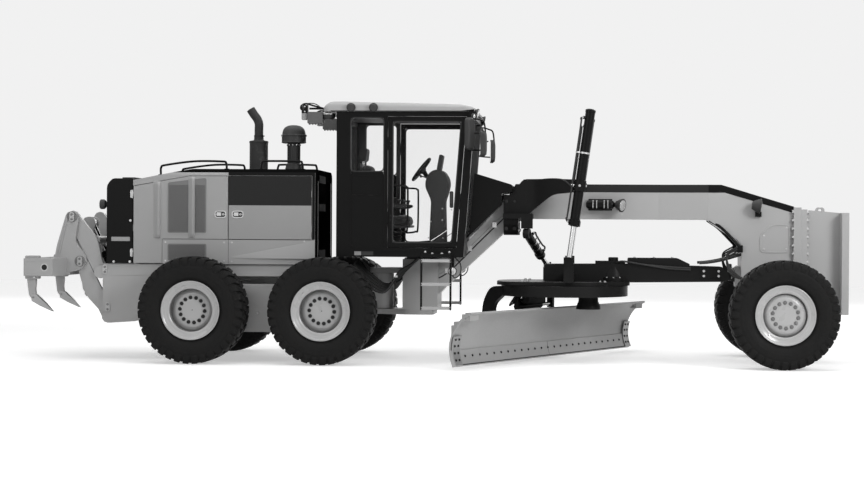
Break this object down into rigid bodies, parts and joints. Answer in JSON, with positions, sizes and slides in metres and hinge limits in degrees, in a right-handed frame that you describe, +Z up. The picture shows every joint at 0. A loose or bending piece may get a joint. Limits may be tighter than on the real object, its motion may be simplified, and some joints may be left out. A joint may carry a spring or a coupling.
{
  "type": "motor grader",
  "caption": "Articulated motor grader with tandem drive, cab on the front frame, side-shifting blade on a turning circle, leaning front wheels, front push block and rear parallelogram ripper.",
  "frame": {"origin": "on the ground, at the middle of the machine's box", "axes": "+X forward, +Y to the left, +Z up"},
  "size_m": [9.79, 3.8829, 3.14],
  "materials": {
    "body_paint": "satin light grey paint",
    "black_paint": "satin black paint",
    "wheel_paint": "gloss light grey paint",
    "tyre_rubber": "matt black rubber",
    "cast_iron": "dark painted castings",
    "wear_steel": "grey painted plate with bare worn edge",
    "chrome": "polished cylinder rod",
    "seat_cloth": "woven seat cover",
    "cab_trim": "grained plastic",
    "glass": "clear safety glass",
    "lamp_lens": "clear ribbed lens",
    "rubber_hose": "smooth hydraulic hose",
    "zinc_steel": "plated fittings and bolts",
    "mirror_glass": "mirror",
    "matt_plastic": "black housings and grips"
  },
  "bodies": {
    "rear_unit": {"rear_frame": "body_paint", "tandem_case_right": "body_paint", "tandem_case_left": "body_paint", "engine": "cast_iron", "cooling_housing": "black_paint", "hood": "body_paint", "exhaust_stack": "black_paint", "air_precleaner": "black_paint"},
    "front_unit": {"front_frame": "body_paint", "push_block": "body_paint", "cab": "black_paint", "cab_roof": "body_paint", "windscreen": "glass", "rear_window": "glass", "side_window_right": "glass", "side_window_left": "glass", "seat": "seat_cloth", "console": "cab_trim", "lift_saddle": "black_paint", "front_axle": "cast_iron"},
    "hood_rear_door_right": {"hood_rear_door_right": "body_paint"},
    "hood_front_door_right": {"hood_front_door_right": "body_paint"},
    "cab_door_right": {"cab_door_right": "black_paint", "door_glass_right": "glass"},
    "wheel_rear_right": {"rim_rear_right": "wheel_paint", "tyre_rear_right": "tyre_rubber"},
    "wheel_middle_right": {"rim_middle_right": "wheel_paint", "tyre_middle_right": "tyre_rubber"},
    "hood_rear_door_left": {"hood_rear_door_left": "body_paint"},
    "hood_front_door_left": {"hood_front_door_left": "body_paint"},
    "cab_door_left": {"cab_door_left": "black_paint", "door_glass_left": "glass"},
    "wheel_rear_left": {"rim_rear_left": "wheel_paint", "tyre_rear_left": "tyre_rubber"},
    "wheel_middle_left": {"rim_middle_left": "wheel_paint", "tyre_middle_left": "tyre_rubber"},
    "lean_right": {"lean_casting_right": "cast_iron"},
    "knuckle_right": {"steering_knuckle_right": "cast_iron"},
    "wheel_front_right": {"rim_front_right": "wheel_paint", "tyre_front_right": "tyre_rubber"},
    "lean_left": {"lean_casting_left": "cast_iron"},
    "knuckle_left": {"steering_knuckle_left": "cast_iron"},
    "wheel_front_left": {"rim_front_left": "wheel_paint", "tyre_front_left": "tyre_rubber"},
    "lean_bar": {"lean_bar": "cast_iron"},
    "drawbar": {"drawbar": "black_paint"},
    "lift_barrel_right": {"lift_barrel_right": "black_paint"},
    "lift_rod_right": {"lift_rod_right": "chrome"},
    "lift_barrel_left": {"lift_barrel_left": "black_paint"},
    "lift_rod_left": {"lift_rod_left": "chrome"},
    "shift_barrel": {"shift_barrel": "black_paint"},
    "shift_rod": {"shift_rod": "chrome"},
    "circle": {"circle": "black_paint"},
    "blade_bracket": {"blade_bracket": "cast_iron"},
    "moldboard": {"moldboard": "wear_steel"},
    "ripper_lower_link": {"ripper_lower_link": "body_paint"},
    "ripper_upper_link": {"ripper_upper_link": "body_paint"},
    "ripper_beam": {"ripper_beam": "body_paint"},
    "ripper_barrel": {"ripper_cylinder_barrel": "black_paint"},
    "ripper_rod": {"ripper_cylinder_rod": "chrome"}
  },
  "joints": [
    {"name": "articulation", "type": "hinge", "parent": "rear_unit", "child": "front_unit", "pos_m": [-0.745, 0, 0.845], "axis": [0, 0, -1], "range_deg": [-22, 22]},
    {"name": "hood_rear_door_right_hinge", "type": "hinge", "parent": "rear_unit", "child": "hood_rear_door_right", "pos_m": [-3.71, -0.69, 1.7], "axis": [0, 0, 1], "range_deg": [-90, 0]},
    {"name": "hood_front_door_right_hinge", "type": "hinge", "parent": "rear_unit", "child": "hood_front_door_right", "pos_m": [-1.54, -0.69, 1.85], "axis": [0, 0, -1], "range_deg": [-90, 0]},
    {"name": "cab_door_right_hinge", "type": "hinge", "parent": "front_unit", "child": "cab_door_right", "pos_m": [-0.613, -0.72, 2.17], "axis": [0, 0, 1], "range_deg": [-90, 0]},
    {"name": "wheel_rear_right_spin", "type": "hinge", "parent": "rear_unit", "child": "wheel_rear_right", "pos_m": [-2.875, -1.09, 0.6341], "axis": [0, 1, 0], "continuous": true},
    {"name": "wheel_middle_right_spin", "type": "hinge", "parent": "rear_unit", "child": "wheel_middle_right", "pos_m": [-1.335, -1.09, 0.6341], "axis": [0, 1, 0], "continuous": true},
    {"name": "hood_rear_door_left_hinge", "type": "hinge", "parent": "rear_unit", "child": "hood_rear_door_left", "pos_m": [-3.71, 0.69, 1.7], "axis": [0, 0, 1], "range_deg": [0, 90]},
    {"name": "hood_front_door_left_hinge", "type": "hinge", "parent": "rear_unit", "child": "hood_front_door_left", "pos_m": [-1.54, 0.69, 1.85], "axis": [0, 0, -1], "range_deg": [0, 90]},
    {"name": "cab_door_left_hinge", "type": "hinge", "parent": "front_unit", "child": "cab_door_left", "pos_m": [-0.613, 0.72, 2.17], "axis": [0, 0, 1], "range_deg": [0, 90]},
    {"name": "wheel_rear_left_spin", "type": "hinge", "parent": "rear_unit", "child": "wheel_rear_left", "pos_m": [-2.875, 1.09, 0.6341], "axis": [0, 1, 0], "continuous": true},
    {"name": "wheel_middle_left_spin", "type": "hinge", "parent": "rear_unit", "child": "wheel_middle_left", "pos_m": [-1.335, 1.09, 0.6341], "axis": [0, 1, 0], "continuous": true},
    {"name": "lean", "type": "hinge", "parent": "front_unit", "child": "lean_right", "pos_m": [4.055, -0.64, 0.64], "axis": [1, 0, 0], "range_deg": [-20, 20]},
    {"name": "steer", "type": "hinge", "parent": "lean_right", "child": "knuckle_right", "pos_m": [4.055, -0.76, 0.64], "axis": [0, 0, 1], "range_deg": [-40, 40]},
    {"name": "wheel_front_right_spin", "type": "hinge", "parent": "knuckle_right", "child": "wheel_front_right", "pos_m": [4.055, -1.09, 0.6341], "axis": [0, 1, 0], "continuous": true},
    {"name": "lean_left_follow", "type": "hinge", "parent": "front_unit", "child": "lean_left", "pos_m": [4.055, 0.64, 0.64], "axis": [1, 0, 0], "range_deg": [-20, 20]},
    {"name": "steer_left_follow", "type": "hinge", "parent": "lean_left", "child": "knuckle_left", "pos_m": [4.055, 0.76, 0.64], "axis": [0, 0, 1], "range_deg": [-40, 40]},
    {"name": "wheel_front_left_spin", "type": "hinge", "parent": "knuckle_left", "child": "wheel_front_left", "pos_m": [4.055, 1.09, 0.6341], "axis": [0, 1, 0], "continuous": true},
    {"name": "lean_bar_follow", "type": "slide", "parent": "front_unit", "child": "lean_bar", "axis": [0, 1, 0], "range_m": [-0.09, 0.09]},
    {"name": "drawbar_lift", "type": "hinge", "parent": "front_unit", "child": "drawbar", "pos_m": [3.575, 0, 1.05], "axis": [0, 1, 0], "range_deg": [-12, 10]},
    {"name": "lift_barrel_right_follow", "type": "hinge", "parent": "front_unit", "child": "lift_barrel_right", "pos_m": [1.68, -0.8, 2.13], "axis": [0, 1, 0], "range_deg": [-2.15, 1.88]},
    {"name": "lift_rod_right_follow", "type": "slide", "parent": "lift_barrel_right", "child": "lift_rod_right", "axis": [-0.1376, 0, -0.9905], "range_m": [-0.3596, 0.4315]},
    {"name": "lift_barrel_left_follow", "type": "hinge", "parent": "front_unit", "child": "lift_barrel_left", "pos_m": [1.68, 0.8, 2.13], "axis": [0, 1, 0], "range_deg": [-2.15, 1.88]},
    {"name": "lift_rod_left_follow", "type": "slide", "parent": "lift_barrel_left", "child": "lift_rod_left", "axis": [-0.1376, 0, -0.9905], "range_m": [-0.3596, 0.4315]},
    {"name": "shift_barrel_follow", "type": "hinge", "parent": "front_unit", "child": "shift_barrel", "pos_m": [1.045, -0.42, 1.56], "axis": [0.9561, -0.2932, 0], "range_deg": [-25.12, 20.93]},
    {"name": "shift_rod_follow", "type": "slide", "parent": "shift_barrel", "child": "shift_rod", "axis": [0.2612, 0.8517, -0.4543], "range_m": [-0.1689, 0.2026]},
    {"name": "circle_turn", "type": "hinge", "parent": "drawbar", "child": "circle", "pos_m": [1.495, 0, 0.865], "axis": [0, 0, 1], "range_deg": [-21, 79]},
    {"name": "blade_tip", "type": "hinge", "parent": "circle", "child": "blade_bracket", "pos_m": [1.20637, 0.15999, 0.205], "axis": [0.4848, 0.8746, 0], "range_deg": [-24, 18]},
    {"name": "blade_shift", "type": "slide", "parent": "blade_bracket", "child": "moldboard", "axis": [-0.4848, -0.8746, 0], "range_m": [-0.68, 0.68]},
    {"name": "ripper_lower", "type": "hinge", "parent": "rear_unit", "child": "ripper_lower_link", "pos_m": [-4.035, 0, 0.52], "axis": [0, -1, 0], "range_deg": [0, 85]},
    {"name": "ripper_upper_follow", "type": "hinge", "parent": "rear_unit", "child": "ripper_upper_link", "pos_m": [-4.135, 0, 1.06], "axis": [0, -1, 0], "range_deg": [0, 85]},
    {"name": "ripper_beam_follow", "type": "hinge", "parent": "ripper_lower_link", "child": "ripper_beam", "pos_m": [-4.38, 0, 1.19], "axis": [0, -1, 0], "range_deg": [-85, 0]},
    {"name": "ripper_barrel_follow", "type": "hinge", "parent": "rear_unit", "child": "ripper_barrel", "pos_m": [-3.93, 0, 0.64], "axis": [0, -1, 0], "range_deg": [0, 59.45]},
    {"name": "ripper_rod_follow", "type": "slide", "parent": "ripper_barrel", "child": "ripper_rod", "axis": [-0.4332, 0, 0.9013], "range_m": [-0.2698, 0.02]}
  ],
  "couplings": [
    {"joint": "lean_left_follow", "follows": "lean", "ratio": 1},
    {"joint": "steer_left_follow", "follows": "steer", "ratio": 1},
    {"joint": "lean_bar_follow", "follows": "lean", "m_per_rad": 0.21556},
    {"joint": "lift_barrel_right_follow", "follows": "drawbar_lift", "ratio": 0.1376},
    {"joint": "lift_rod_right_follow", "follows": "drawbar_lift", "m_per_rad": -2.02},
    {"joint": "lift_barrel_left_follow", "follows": "drawbar_lift", "ratio": 0.1376},
    {"joint": "lift_rod_left_follow", "follows": "drawbar_lift", "m_per_rad": -2.02},
    {"joint": "shift_barrel_follow", "follows": "drawbar_lift", "ratio": 2.0521},
    {"joint": "shift_rod_follow", "follows": "drawbar_lift", "m_per_rad": -0.94859},
    {"joint": "ripper_upper_follow", "follows": "ripper_lower", "ratio": 1},
    {"joint": "ripper_beam_follow", "follows": "ripper_lower", "ratio": -1},
    {"joint": "ripper_barrel_follow", "follows": "ripper_lower", "ratio": 0.68566},
    {"joint": "ripper_rod_follow", "follows": "ripper_lower", "m_per_rad": -0.16835}
  ]
}
